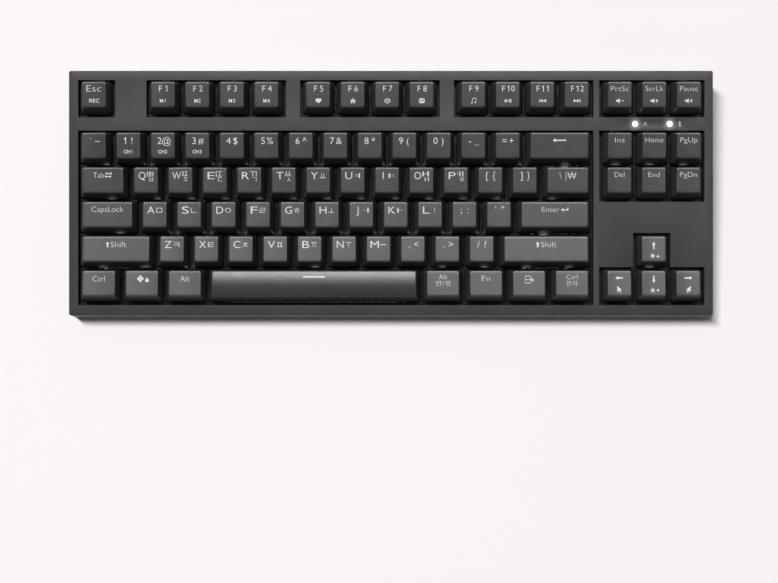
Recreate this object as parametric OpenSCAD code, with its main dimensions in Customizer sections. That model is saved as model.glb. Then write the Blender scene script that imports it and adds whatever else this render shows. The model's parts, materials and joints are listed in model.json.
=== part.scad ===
// Tenkeyless mechanical keyboard: a wedge case, a switch plate with 87 switches, and keycaps.
// +X is to the right, +Y to the back and +Z up. The origin is on the desk, under the case's middle.
// The deck is the case's sloping top. Its own frame has z = 0 on the case's top face.

/* [Case] */
// Width of the case
case_w = 359; // [358:0.5:370]
// Depth of the case, front to back
case_d = 135.8; // [135.6:0.2:142]
// Height of the case's top face, halfway between front and back
deck_h = 25; // [25:0.5:28]
// Slope of the deck, in degrees
tilt = 5; // [4:0.5:6]
// Height of the joint between the bottom case and the top frame
parting_h = 9; // [8:0.5:10]
// Thickness of the case's outer walls
wall = 2.4; // [2:0.2:2.6]
// Radius of the case's upright corners
corner_r = 1; // [1:0.5:3]
// Thickness of the top frame's face
face_t = 2.5; // [2:0.1:3]

/* [Key field] */
// Pitch of one key unit
unit = 19.05; // [19.05]
// Case's left edge to the first well's left side
left_margin = 5.1; // [5:0.1:6]
// Case's back edge to the function wells' back side, along the deck
back_margin = 5.2; // [5:0.1:5.6]
// Pitch from the function row to the number row
function_pitch = 28.1; // [28:0.1:28.6]
// Room between the key cells and the wells' sides
well_gap = 0.8; // [0.6:0.05:0.9]
// Room in front of the space bar's row
front_gap = 1.4; // [0.8:0.1:1.5]
// Depth from the case's top face to the switch plate
plate_drop = 8; // [7.5:0.1:8.5]

/* [Keycaps] */
// Keycap's base width for one unit
cap_base = 18.1; // [17.9:0.05:18.2]
// How far the sides lean in, each side
cap_side_inset = 2.5; // [2.2:0.1:2.7]
// How far the back leans in
cap_back_inset = 0.8; // [0.5:0.1:1]
// How far the front leans in
cap_front_inset = 3.2; // [3:0.1:3.5]
// Keycap's wall thickness
cap_wall = 1.3; // [1.1:0.05:1.4]
// Depth of the finger scoop in the keycap's top
scoop_depth = 0.5; // [0.3:0.05:0.6]

/* [Switches] */
// Travel of a key
travel = 4; // [4]
// Side of the plate's square switch holes
switch_hole = 14; // [14]
// Height of the switch housing above the plate
housing_h = 6.6; // [6.6]
// Play between a stem and its guides, each side
guide_gap = 0.3; // [0.25:0.05:0.35]

/* [Feet] */
// Reach of a flip-out foot beyond its pivot
foot_len = 14; // [12:0.5:15]
// Width of a flip-out foot
foot_w = 24; // [20:1:26]
// Distance of the feet from the case's middle
foot_x = 145; // [140:1:150]

/* [Hidden] */
$fn = 48;
eps = 0.01;

// Deck frame and rows, from the function row at the back to the space bar's row at the front
deck_len = case_d / cos(tilt);
function_row_y = deck_len / 2 - back_margin - well_gap - unit / 2;
number_row_y = function_row_y - function_pitch;
ROW_Y = concat([function_row_y], [for (i = [0:4]) number_row_y - i * unit]);
field_x0 = -case_w / 2 + left_margin + well_gap;
nav_u = 15.25;
plate_z = -plate_drop;
plate_t = 1.5;
board_z = plate_z - 5;
board_t = 1.6;
centre_post_r = 1.95;
well_wall = 1.2;

// Keycap heights and the slopes of their tops, row by row, and the round top of the space bar
ROW_H = [10.8, 10.8, 9.4, 8.8, 8.9, 9.1];
ROW_SLOPE = [5, 5, 2.5, -1, -4, -5];
cap_z = housing_h;
roof = 1.5;
crown_r = 20;
boss_r = 2.7;
boss_into_roof = 0.5;
cross_l = 4;
cross_w = 1.15;
cross_len = 3.6;
cross_fit = 0.1;
cap_top_y = (cap_front_inset - cap_back_inset) / 2;

// Stabilizers: distance of a stem from the key's middle, and the wire
short_reach = 11.94;
long_reach = 50;
wire_r = 0.8;
wire_y = -8.9;
wire_z = 0.95;
arm_len = 12;
arm_r = 0.75;
arm_lift = asin(travel / 2 / arm_len);

// Case underside
sole_z = 1.2;
floor_t = 2;
floor_z = sole_z + floor_t;
foot_y = 55;
foot_z = 3.3;
foot_r = 1.7;
foot_pin_r = 1.2;
foot_pin_len = 2;
pocket_y = foot_y - foot_len / 2 + 0.6;
pocket_side = 0.5;
pocket_d = foot_len + 5.4;
pocket_wall = 2;
pocket_top = 6.4;
pad_w = 30;
pad_fit = 0.1;
pad_top = sole_z + 0.4;
PADS = [[-58.5, 8], [62.4, 6]];
SCREW_SPOTS = [[-166, 39.1], [-37, 39.1], [114.5, 39.1], [-166, -64.2], [-30, -64.2], [114.5, -64.2]];
screw_split = 10;
screw_r = 1.1;
screw_len = 14.2;
head_r = 2.2;
head_h = 1.8;
head_z = sole_z + 0.4;
low_post_r = 3.6;
high_post_r = 2.8;
post_room = 0.6;

// Socket and power switch in the back wall
usb_x = -60;
usb_w = 8.94;
usb_h = 3.26;
usb_len = 7.35;
port_z = board_z - board_t - usb_h / 2;
back_y = on_layer(case_d / 2, port_z);
power_x = -84;
power_throw = 3;

// Status lights between the upper right wells
light_y = (ROW_Y[0] + ROW_Y[1]) / 2;
LIGHT_X = [136.2, 155.4];
light_r = 1.5;
light_fit = 0.05;
light_rise = 0.2;

// Sides of the switch plate and of the circuit board, in the deck's frame
plate_side = case_w / 2 - 5.1;
plate_front = -62.6;
plate_back = 64.2;
board_side = plate_side - 0.4;
board_front = plate_front + 1;
board_back = plate_back - 0.8;

// Keys as [row, first unit, width in units]
Q_ROW = ["q", "w", "e", "r", "t", "y", "u", "i", "o", "p"];
A_ROW = ["a", "s", "d", "f", "g", "h", "j", "k", "l"];
Z_ROW = ["z", "x", "c", "v", "b", "n", "m"];
LETTER_KEYS = concat(
    [for (i = [0:9]) [str("key_", Q_ROW[i]), [[2, 1.5 + i, 1]]]],
    [for (i = [0:8]) [str("key_", A_ROW[i]), [[3, 1.75 + i, 1]]]],
    [for (i = [0:6]) [str("key_", Z_ROW[i]), [[4, 2.25 + i, 1]]]]
);
WIDE_KEYS = [
    ["key_backspace", [[1, 13, 2]]],
    ["key_enter", [[3, 12.75, 2.25]]],
    ["key_left_shift", [[4, 0, 2.25]]],
    ["key_right_shift", [[4, 12.25, 2.75]]],
    ["key_space", [[5, 3.75, 6.25]]]
];
KEY_GROUPS = [
    ["function_keys_left", [for (i = [0:3]) [0, 2 + i, 1]]],
    ["function_keys_middle", [for (i = [0:3]) [0, 6.5 + i, 1]]],
    ["function_keys_right", [for (i = [0:3]) [0, 11 + i, 1]]],
    ["number_keys", [for (i = [0:12]) [1, i, 1]]],
    ["punctuation_keys", [
        [2, 11.5, 1], [2, 12.5, 1], [2, 13.5, 1.5], [3, 10.75, 1], [3, 11.75, 1],
        [4, 9.25, 1], [4, 10.25, 1], [4, 11.25, 1]
    ]],
    ["modifier_keys", concat(
        [[0, 0, 1], [2, 0, 1.5], [3, 0, 1.75]],
        [for (i = [0:2]) [5, 1.25 * i, 1.25]],
        [for (i = [0:3]) [5, 10 + 1.25 * i, 1.25]]
    )],
    ["navigation_keys", concat(
        [for (row = [0:2], i = [0:2]) [row, nav_u + i, 1]],
        [[4, nav_u + 1, 1]],
        [for (i = [0:2]) [5, nav_u + i, 1]]
    )]
];
ALL_KEY_NODES = concat(LETTER_KEYS, WIDE_KEYS, KEY_GROUPS);
ALL_KEYS = [for (k = ALL_KEY_NODES) each k[1]];
WIRES = [for (k = WIDE_KEYS) [str("wire", substr_from(k[0], 3)), k[1][0]]];

// Wells as [first unit, last unit, back row, front row]
WELLS = [
    [0, 1, 0, 0], [2, 6, 0, 0], [6.5, 10.5, 0, 0], [11, 15, 0, 0], [nav_u, nav_u + 3, 0, 0],
    [0, 15, 1, 5], [nav_u, nav_u + 3, 1, 2], [nav_u + 1, nav_u + 2, 4, 5], [nav_u, nav_u + 3, 5, 5]
];

// Text after the first n letters
function substr_from(s, n) = chr([for (i = [n:len(s) - 1]) ord(s[i])]);

// Middle of a key across the deck, and its reach to the stabilizer stems, or 0 where it has none
function key_x(key) = field_x0 + (key[1] + key[2] / 2) * unit;
function stem_reach(key) = key[2] > 6 ? long_reach : key[2] >= 2 ? short_reach : 0;

// Place along the deck where an upright line at y passes a layer of the deck's frame
function on_layer(y, z) = (y + z * sin(tilt)) / cos(tilt);

// Turns the deck's frame into the object's frame
module deck() {
    translate([0, 0, deck_h]) rotate([tilt, 0, 0]) children();
}

// Puts children on the plate at a key's middle
module at_key(key) {
    deck() translate([key_x(key), ROW_Y[key[0]], plate_z]) children();
}

// Puts children at both stabilizer stems of a key, mirrored so that -X always points to the key's middle
module at_stems(key) {
    at_key(key) for (side = [0, 1]) mirror([side, 0, 0]) translate([stem_reach(key), 0, 0]) children();
}

// Box centred in X and Y that stands on z0
module block(w, d, z0, z1) {
    translate([-w / 2, -d / 2, z0]) cube([w, d, z1 - z0]);
}

// Pyramid stump with flat faces: side, back and front lean in by the given amounts, and the top slopes
module stump(w, d, h, side, back, front, slope) {
    rise = (d - back - front) / 2 * tan(slope);
    over = 1.3;
    intersection() {
        rotate([90, 0, 90]) linear_extrude(w, center = true)
            polygon([[-d / 2, 0], [d / 2, 0], [d / 2 - back, h + rise], [-d / 2 + front, h - rise]]);
        rotate([90, 0, 0]) linear_extrude(d, center = true)
            polygon([
                [-w / 2, 0], [w / 2, 0], [w / 2 - side * over, h * over], [-w / 2 + side * over, h * over]
            ]);
    }
}

// Cross-shaped bar, as wide as a stem's key fit plus the given room
module cross_bar(room, z0, z1) {
    block(cross_l + room, cross_w + room, z0, z1);
    block(cross_w + room, cross_l + room, z0, z1);
}

// Socket under a keycap that a stem's cross fits into
module cap_socket(h) {
    difference() {
        cylinder(r = boss_r, h = h - roof + boss_into_roof);
        cross_bar(2 * cross_fit, -eps, cross_len + 0.15);
    }
}

// Body of one keycap, with a flat sloping top, or a round one on the space bar
module cap_block(w, h, slope, crowned) {
    intersection() {
        stump(w, cap_base, h, cap_side_inset, cap_back_inset, cap_front_inset, slope);
        if (crowned) translate([0, cap_top_y, h - crown_r]) rotate([0, 90, 0])
            cylinder(r = crown_r, h = w, center = true, $fn = 160);
    }
}

// One keycap: hollow, with sockets for its stems and a finger scoop in its top
module keycap(key) {
    row = key[0];
    w = key[2] * unit - (unit - cap_base);
    h = ROW_H[row];
    crowned = stem_reach(key) == long_reach;
    slope = crowned ? 0 : ROW_SLOPE[row];
    top_w = w - 2 * cap_side_inset;
    scoop_r = (top_w * top_w / 4 + scoop_depth * scoop_depth) / (2 * scoop_depth);
    difference() {
        cap_block(w, h, slope, crowned);
        if (!crowned) translate([0, cap_top_y, h - scoop_depth + scoop_r]) rotate([90 + slope, 0, 0])
            cylinder(r = scoop_r, h = 2 * cap_base, center = true, $fn = 160);
        translate([0, 0, -eps]) stump(
            w - 2 * cap_wall, cap_base - 2 * cap_wall, h - roof - (crowned ? 1 : 0),
            cap_side_inset, cap_back_inset, cap_front_inset, slope
        );
    }
    cap_socket(h);
    if (stem_reach(key) > 0) for (side = [-1, 1]) translate([side * stem_reach(key), 0, 0]) cap_socket(h);
}

// Switch stem: shoulders held under the housing's roof, a guide pole inside the spring, and the cross
module switch_stem() {
    block(7, 5.6, 1.4, housing_h - 0.2);
    block(8.6, 4, 1.4, 5.2);
    translate([0, 0, 0.4]) cylinder(r = 1, h = 1 + eps);
    cross_bar(0, housing_h - 0.2 - eps, housing_h + cross_len);
}

// Stabilizer insert: slides with the key, and holds the wire's end in its window
module stabilizer_insert() {
    difference() {
        translate([0, 0.55, 0]) block(4.4, 8.9, -0.4, housing_h - 0.4);
        translate([0, -1.2, 0]) block(2.4, 6, 0.6, 5.3);
        translate([0, 2.8, 0]) block(2.4, 2.6, 1.8, 4.1);
    }
    cross_bar(0, housing_h - 0.4 - eps, housing_h + cross_len);
}

// Everything of the keys in one node that a finger moves
module keys(list) {
    for (key = list) {
        color("#6c6c6e") at_key(key) translate([0, 0, cap_z]) keycap(key);
        color("ivory") at_key(key) switch_stem();
        if (stem_reach(key) > 0) color("ivory") at_stems(key) stabilizer_insert();
    }
}

// Wire of a wide key's stabilizer: a long bar that turns in its clips, and an arm at each end
module stabilizer_wire(key) {
    reach = stem_reach(key);
    color("silver") at_key(key) translate([0, wire_y, wire_z]) {
        rotate([0, 90, 0]) cylinder(r = wire_r, h = 2 * reach + 2 * wire_r, center = true);
        for (side = [-1, 1]) translate([side * reach, 0, 0]) rotate([arm_lift - 90, 0, 0])
            cylinder(r = arm_r, h = arm_len);
    }
}

// Stabilizer housings on the plate, each with one clip for the wire on its inner side
module stabilizer_housings() {
    color("dimgray") for (k = WIDE_KEYS) at_stems(k[1][0]) difference() {
        union() {
            block(7, 13, -4.2, 1.8);
            translate([-2.5, -8.2, 0]) block(2, 4, 0, 2.2);
        }
        translate([0, 0.55, 0]) block(5, 9.5, -5, 3);
        translate([0, -6, 0]) block(2.6, 4, -3, 3);
        translate([0, wire_y, wire_z]) rotate([0, 90, 0]) cylinder(r = wire_r + 0.06, h = 8, center = true);
    }
}

// Plan of the case with round corners
module case_plan(inset) {
    w = case_w - 2 * inset;
    d = case_d - 2 * inset;
    r = max(corner_r - inset, 0.5);
    square([w - 2 * r, d], center = true);
    square([w, d - 2 * r], center = true);
    for (x = [-1, 1], y = [-1, 1]) translate([x * (w / 2 - r), y * (d / 2 - r)]) circle(r = r);
}

// Upright prism of the case's plan, cut off by a plane parallel to the deck
module case_prism(inset, z0, drop) {
    rise = case_d * tan(tilt) / 2;
    top_z = deck_h - drop / cos(tilt);
    intersection() {
        translate([0, 0, z0]) linear_extrude(deck_h + 2 * rise) case_plan(inset);
        rotate([90, 0, 90]) linear_extrude(case_w, center = true)
            polygon([
                [-case_d / 2, z0], [case_d / 2, z0], [case_d / 2, top_z + rise], [-case_d / 2, top_z - rise]
            ]);
    }
}

// Boxes of all wells, grown sideways, between two heights of the deck's frame
module wells(grow, z0, z1) {
    deck() for (w = WELLS) {
        x0 = field_x0 + w[0] * unit - well_gap - grow;
        x1 = field_x0 + w[1] * unit + well_gap + grow;
        y0 = ROW_Y[w[3]] - unit / 2 - (w[3] == 5 ? front_gap : well_gap) - grow;
        y1 = ROW_Y[w[2]] + unit / 2 + well_gap + grow;
        translate([x0, y0, z0]) cube([x1 - x0, y1 - y0, z1 - z0]);
    }
}

// Places of the case screws
module at_screws() {
    for (spot = SCREW_SPOTS) translate([spot[0], spot[1], 0]) children();
}

// Hole in the back wall, square to the deck
module back_hole(x, w, h) {
    deck() translate([x - w / 2, back_y - 6, port_z - h / 2]) cube([w, 12, h]);
}

module top_frame() {
    color("#3a3b3d") difference() {
        union() {
            difference() {
                case_prism(0, parting_h, 0);
                case_prism(wall, parting_h - eps, face_t);
            }
            wells(well_wall, plate_z, -face_t + eps);
            intersection() {
                at_screws() translate([0, 0, screw_split]) cylinder(r = high_post_r, h = deck_h);
                case_prism(wall / 4, parting_h, face_t / 2);
            }
        }
        wells(0, plate_z - 1, 1);
        at_screws() translate([0, 0, screw_split - eps]) cylinder(r = screw_r + 0.05, h = 6);
        for (x = LIGHT_X) deck() translate([x, light_y, -face_t - 1])
            cylinder(r = light_r + light_fit, h = face_t + 2);
        back_hole(usb_x, usb_w + 0.6, usb_h + 0.6);
        back_hole(power_x, 4 + power_throw + 1, 3);
    }
}

// Posts of the bottom case that the screws pass, clear of the top frame's walls above the joint
module low_posts() {
    intersection() {
        at_screws() translate([0, 0, sole_z]) cylinder(r = low_post_r, h = parting_h - sole_z);
        translate([0, 0, sole_z]) linear_extrude(parting_h) case_plan(wall / 2);
    }
    intersection() {
        at_screws() translate([0, 0, sole_z]) cylinder(r = low_post_r, h = screw_split - sole_z);
        translate([0, 0, sole_z]) linear_extrude(screw_split) case_plan(wall + 0.2);
    }
}

module bottom_case() {
    pocket_w = foot_w + 2 * pocket_side;
    color("#2b2c2e") difference() {
        union() {
            difference() {
                translate([0, 0, sole_z]) linear_extrude(parting_h - sole_z) case_plan(0);
                translate([0, 0, floor_z]) linear_extrude(parting_h) case_plan(wall);
            }
            low_posts();
            for (side = [-1, 1]) translate([side * foot_x, pocket_y, 0])
                block(pocket_w + 2 * pocket_wall, pocket_d + 1.5 * pocket_wall, sole_z, pocket_top + 1.6);
        }
        at_screws() translate([0, 0, head_z - 1]) cylinder(r = head_r + 0.2, h = 1 + head_h);
        at_screws() translate([0, 0, sole_z]) cylinder(r = screw_r + 0.1, h = screw_split);
        for (side = [-1, 1]) translate([side * foot_x, 0, 0]) {
            translate([0, pocket_y, 0]) block(pocket_w, pocket_d, sole_z - 1, pocket_top);
            translate([0, foot_y, foot_z]) rotate([0, 90, 0])
                cylinder(r = foot_pin_r + 0.05, h = foot_w + 2 * foot_pin_len + 2, center = true);
        }
        at_pads() block(pad_w, $pad_d, 0, pad_top);
    }
}

// Places of the four rubber feet, with the depth of each as $pad_d
module at_pads() {
    for (side = [-1, 1], pad = PADS) {
        $pad_d = pad[1];
        translate([side * foot_x, pad[0], 0]) children();
    }
}

module rubber_feet() {
    color("#111111") at_pads() block(pad_w - 2 * pad_fit, $pad_d - 2 * pad_fit, 0, pad_top);
}

// Flip-out foot, folded up into its pocket, with its pivot pins
module flip_foot(side) {
    grip_r = 3;
    color("#2b2c2e") translate([side * foot_x, foot_y, foot_z]) {
        difference() {
            union() {
                rotate([0, 90, 0]) cylinder(r = foot_r, h = foot_w, center = true);
                translate([0, -foot_len / 2, 0]) block(foot_w, foot_len, -foot_r, foot_r);
            }
            translate([0, -foot_len, foot_r + grip_r / 2]) rotate([0, 90, 0])
                cylinder(r = grip_r, h = foot_w - 8, center = true);
        }
        rotate([0, 90, 0]) cylinder(r = foot_pin_r, h = foot_w + 2 * foot_pin_len, center = true);
    }
}

// Flat sheet of the deck's frame between two heights
module deck_sheet(side, front, back, z0, z1) {
    translate([-side, front, z0]) cube([2 * side, back - front, z1 - z0]);
}

// Room around the screw posts in a sheet whose middle is at height z
module post_holes(z) {
    for (spot = SCREW_SPOTS) translate([spot[0], on_layer(spot[1], z), z - 4])
        cylinder(r = high_post_r + post_room, h = 8);
}

module switch_plate() {
    color("#16171a") deck() difference() {
        deck_sheet(plate_side, plate_front, plate_back, plate_z - plate_t, plate_z);
        for (key = ALL_KEYS) translate([key_x(key), ROW_Y[key[0]], plate_z]) {
            block(switch_hole, switch_hole, -3, 1);
            if (stem_reach(key) > 0) for (side = [-1, 1])
                translate([side * stem_reach(key), -0.7, 0]) block(7.4, 15.2, -3, 1);
        }
        post_holes(plate_z - plate_t / 2);
    }
}

module circuit_board() {
    color("#10331f") deck() difference() {
        deck_sheet(board_side, board_front, board_back, board_z - board_t, board_z);
        for (key = ALL_KEYS) translate([key_x(key), ROW_Y[key[0]], board_z - 3])
            cylinder(r = centre_post_r + 0.15, h = 5);
        post_holes(board_z - board_t / 2);
    }
}

module switch_lower_housings() {
    color("#1c1c1e") for (key = ALL_KEYS) at_key(key) difference() {
        union() {
            block(switch_hole - 0.1, switch_hole - 0.1, -5, eps);
            block(15.6, 15.6, 0, 1);
            translate([0, 0, -8.3]) cylinder(r = centre_post_r, h = 4);
        }
        block(10.4, 8.4, -4, 2);
        translate([0, 6.9, 0]) block(5.2, 4, -5.1, 2);
    }
}

module switch_upper_housings() {
    color("gainsboro") for (key = ALL_KEYS) at_key(key) difference() {
        translate([0, 0, 1]) stump(15.2, 15.2, housing_h - 1, 2.1, 2.4, 2.4, 0);
        block(10, 8.4, 0.9, 5.4);
        block(7 + 2 * guide_gap, 5.6 + 2 * guide_gap, 5, 7);
        translate([0, 6.9, 0]) block(5.2, 4, 0.9, 8);
    }
}

module switch_springs() {
    color("silver") for (key = ALL_KEYS) at_key(key) translate([0, 0, -3.98]) difference() {
        cylinder(r = 2.2, h = 5.36);
        translate([0, 0, -1]) cylinder(r = 1.6, h = 8);
    }
}

module key_lights() {
    color("white") for (key = ALL_KEYS) at_key(key) translate([0, 6, 0]) block(3.2, 1.6, -5, 2.2);
}

module status_light_guides() {
    foot_depth = 5;
    color("white") for (x = LIGHT_X) deck() translate([x, light_y, -foot_depth]) {
        cylinder(r = light_r, h = foot_depth + light_rise);
        cylinder(r = light_r + 0.8, h = 1);
    }
}

module battery_pack() {
    color("steelblue") translate([45, 38, floor_z + 0.2]) {
        block(58, 34, 0, 5.6);
        translate([-31, 0, 0]) block(4, 14, 1, 4);
    }
}

// Shell of the socket under the board's back edge, with the tongue inside
module usb_socket() {
    deck() translate([usb_x, back_y - 0.4 - usb_len, port_z]) rotate([-90, 0, 0]) {
        color("silver") difference() {
            round_bar(usb_w, usb_h, usb_len);
            translate([0, 0, 1]) round_bar(usb_w - 0.6, usb_h - 0.6, usb_len);
        }
        color("#202020") block(6.7, 0.7, 0.5, usb_len - 1);
    }
}

// Stadium-shaped bar along Z, w wide and h thick
module round_bar(w, h, len) {
    block(w - h, h, 0, len);
    for (side = [-1, 1]) translate([side * (w - h) / 2, 0, 0]) cylinder(r = h / 2, h = len);
}

module power_switch_knob() {
    color("#101010") deck() translate([power_x - power_throw / 2, back_y - 2.4, port_z]) {
        block(3.6, 4, -1.1, 1.1);
        translate([0, -2.8, 0]) block(8, 1.8, -2, 1.2);
    }
}

module case_screws() {
    color("silver") at_screws() difference() {
        union() {
            translate([0, 0, head_z]) cylinder(r = head_r, h = head_h);
            translate([0, 0, head_z + 0.5]) cylinder(r = screw_r, h = screw_len - 1);
        }
        translate([0, 0, head_z]) cross_bar(-1.2, -eps, 1);
    }
}

top_frame();
bottom_case();
switch_plate();
circuit_board();
switch_lower_housings();
switch_upper_housings();
switch_springs();
stabilizer_housings();
key_lights();
status_light_guides();
battery_pack();
usb_socket();
power_switch_knob();
case_screws();
rubber_feet();
flip_foot(-1);  // left_flip_foot
flip_foot(1);  // right_flip_foot
for (w = WIRES) stabilizer_wire(w[1]);
for (k = ALL_KEY_NODES) keys(k[1]);
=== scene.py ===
import json
import math

import bmesh
import bpy
from mathutils import Matrix, Vector


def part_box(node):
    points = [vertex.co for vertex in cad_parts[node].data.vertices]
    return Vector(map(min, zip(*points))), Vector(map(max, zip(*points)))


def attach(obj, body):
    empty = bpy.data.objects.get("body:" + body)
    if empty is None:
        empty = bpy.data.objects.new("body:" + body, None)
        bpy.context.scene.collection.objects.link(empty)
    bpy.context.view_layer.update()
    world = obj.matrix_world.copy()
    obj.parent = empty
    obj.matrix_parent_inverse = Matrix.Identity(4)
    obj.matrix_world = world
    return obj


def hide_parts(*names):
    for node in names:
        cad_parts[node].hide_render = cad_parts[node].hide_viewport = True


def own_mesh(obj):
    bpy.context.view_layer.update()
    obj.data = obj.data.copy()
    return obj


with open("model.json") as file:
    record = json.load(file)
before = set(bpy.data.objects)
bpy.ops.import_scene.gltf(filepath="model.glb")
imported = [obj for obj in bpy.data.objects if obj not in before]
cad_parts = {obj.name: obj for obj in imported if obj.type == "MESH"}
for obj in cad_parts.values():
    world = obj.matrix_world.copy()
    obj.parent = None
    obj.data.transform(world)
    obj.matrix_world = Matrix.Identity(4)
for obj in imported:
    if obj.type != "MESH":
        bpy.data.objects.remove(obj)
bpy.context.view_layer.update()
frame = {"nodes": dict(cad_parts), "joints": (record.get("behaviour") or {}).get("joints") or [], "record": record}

# ---------------------------------------------------------------------------
# Sizes, in metres, and the deck: the case's sloping top face

MM = 0.001

# The key grid, and how far behind the number row the function row stands
UNIT = 19.05 * MM
FUNCTION_PITCH = 28.1 * MM
NAV_UNIT = 15.25

# A keycap: its base, how far the top's edges stand in from it, its walls and its top
CAP_BASE = 18.1 * MM
CAP_SIDE_INSET = 2.5 * MM
CAP_BACK_INSET = 0.8 * MM
CAP_FRONT_INSET = 3.2 * MM
CAP_WALL = 1.3 * MM
CAP_ROOF = 1.5 * MM
SCOOP_DEPTH = 0.5 * MM
CROWN_RADIUS = 20 * MM
FILLET = 0.7 * MM
TOP_RADIUS = 1.25 * MM
BASE_RADIUS = 0.7 * MM

# Height and slope of the caps, from the function row to the space bar's
ROW_HEIGHT = [h * MM for h in (10.8, 10.8, 9.4, 8.8, 8.9, 9.1)]
ROW_SLOPE = [math.radians(a) for a in (5, 5, 2.5, -1, -4, -5)]

# Switch plate under the deck, caps above the plate, and the height where the case's halves meet
PLATE_DROP = 8 * MM
CAP_RISE = 6.6 * MM
PARTING_H = 9 * MM

# From a wide key's middle to its stabilizer stems
SHORT_REACH = 11.94 * MM
LONG_REACH = 50 * MM

# Distance within which a point counts as lying on a plane
NEAR = 0.05 * MM

press_axis = next(j["axis"] for j in frame["joints"] if j["name"] == "key_space_press")
TILT = math.atan2(press_axis[1], -press_axis[2])
frame_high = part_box("top_frame")[1]
DECK_H = frame_high.z - frame_high.y * math.tan(TILT)
DECK = Matrix.Translation((0, 0, DECK_H)) @ Matrix.Rotation(TILT, 4, "X")
PLATE_Z = -PLATE_DROP
CAP_Z = PLATE_Z + CAP_RISE

space_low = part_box("key_space")[0]
space_row_y = (space_low.y + CAP_Z * math.sin(TILT)) / math.cos(TILT) + CAP_BASE / 2
ROW_Y = [space_row_y + 4 * UNIT + FUNCTION_PITCH] + [space_row_y + (4 - i) * UNIT for i in range(5)]
FIELD_X0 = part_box("key_left_shift")[0].x - (UNIT - CAP_BASE) / 2

# Middles of the two status lights, on the deck
light_low, light_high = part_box("status_light_guides")
LIGHT_FLANGE_R = 2.3 * MM
light_y = (ROW_Y[0] + ROW_Y[1]) / 2
LIGHTS = [(light_low.x + LIGHT_FLANGE_R, light_y), (light_high.x - LIGHT_FLANGE_R, light_y)]

# ---------------------------------------------------------------------------
# Keys: (row, first unit, width in units, legends)
# A legend is (text, height, width or None, x from the top's middle, y from the top's back edge), in mm.
# A text in angle brackets is a drawn sign.

LETTER_H = 4.0
LETTER_W = 3.8
WIDE_LETTER_W = 4.6
HANGUL_H = 2.6
HANGUL_W = 3.2
HANGUL_BAR_H = 0.4
SMALL_H = 1.9
LOWER_Y = 10.4


def letter(main, *second):
    """A Latin letter with one or two Hangul letters at its right. Narrow letters keep their own width."""
    width = None if main in "IJ" else WIDE_LETTER_W if main in "WM" else LETTER_W
    legends = [(main, LETTER_H, width, -2.1, 4.5)]
    if len(second) == 1:
        height = HANGUL_BAR_H if second[0] == "ㅡ" else HANGUL_H
        return legends + [(second[0], height, None if second[0] == "ㅣ" else HANGUL_W, 2.5, 4.6)]
    return legends + [(second[0], 2.8, 3.5, 2.3, 3.6), (second[1], 2.2, 2.2, 2.9, 6.6)]


def pair(text, sub=None):
    """Two signs side by side, with a small word below."""
    legends = spaced(text, 3.7, 3.8, 0.1, 4.4)
    return legends + (spaced(sub, SMALL_H, 1.8, 0, LOWER_Y) if sub else [])


def spaced(text, height, pitch, x, y):
    """Signs set one by one at an even pitch."""
    first = x - pitch * (len(text) - 1) / 2
    signs = ["<one>" if sign == "1" else sign for sign in text]
    return [(sign, height, None, first + pitch * i, y) for i, sign in enumerate(signs)]


def word(text, width, height, y):
    """One word in the middle of the key."""
    return [(text, height, width, 0, y)]


def function(text, icon, icon_w=3.2, icon_h=2.6):
    """A function key's name, with a small word or a sign below."""
    pitch = 3.3 if len(text) == 2 else 2.6
    legends = spaced(text, 3.2, pitch, 0.3, 3.7)
    if icon.startswith("M"):
        return legends + spaced(icon, SMALL_H, 2.0, 0.2, LOWER_Y)
    return legends + [(icon, icon_h, icon_w, 0.2, LOWER_Y)]


HANGUL_Q = ["ㅃㅂ", "ㅉㅈ", "ㄸㄷ", "ㄲㄱ", "ㅆㅅ", "ㅛ", "ㅕ", "ㅑ", "ㅒㅐ", "ㅖㅔ"]
HANGUL_A = "ㅁㄴㅇㄹㅎㅗㅓㅏㅣ"
HANGUL_Z = "ㅋㅌㅊㅍㅠㅜㅡ"
LETTER_ROWS = (
    (1.5, 2, "QWERTYUIOP", HANGUL_Q),
    (1.75, 3, "ASDFGHJKL", HANGUL_A),
    (2.25, 4, "ZXCVBNM", HANGUL_Z),
)
SHIFT = [("<arrow_up>", 3.2, 1.9, -4.7, 4.5), ("Shift", 3.0, 8.6, 1.4, 4.5)]
MENU = [("<menu>", 4.2, 3.2, -0.6, 4.9), ("<pointer>", 2.2, 1.5, 2.0, 5.0)]
SYSTEM = [("<four_dots>", 3.6, 3.6, -0.8, 4.4), ("<padlock>", 2.4, 1.9, 2.9, 5.0)]
SUN = ("<sun>", 3.0, 3.0, -0.7, 10.8)
NUMBERS = ["`~", "1!", "2@", "3#", "4$", "5%", "6^", "7&", "8*", "9(", "0)", "-_", "=+"]
ICONS_F5 = ["<globe>", "<home>", "<mug>", "<letter>"]
ICONS_F9 = [("<note>", 2.8, 3.2), ("<play>", 3.6, 2.0), ("<previous>", 3.8, 1.9), ("<next>", 3.8, 1.9)]
SYSTEM_NAV = [("PrtSc", 9.9, "<volume_down>"), ("ScrLk", 9.9, "<volume_up>"), ("Pause", 9.9, "<mute>")]
UPPER_NAV = [("Ins", 5.2), ("Home", 9.9), ("PgUp", 9.4)]
LOWER_NAV = [("Del", 5.4), ("End", 6.2), ("PgDn", 9.4)]

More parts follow.
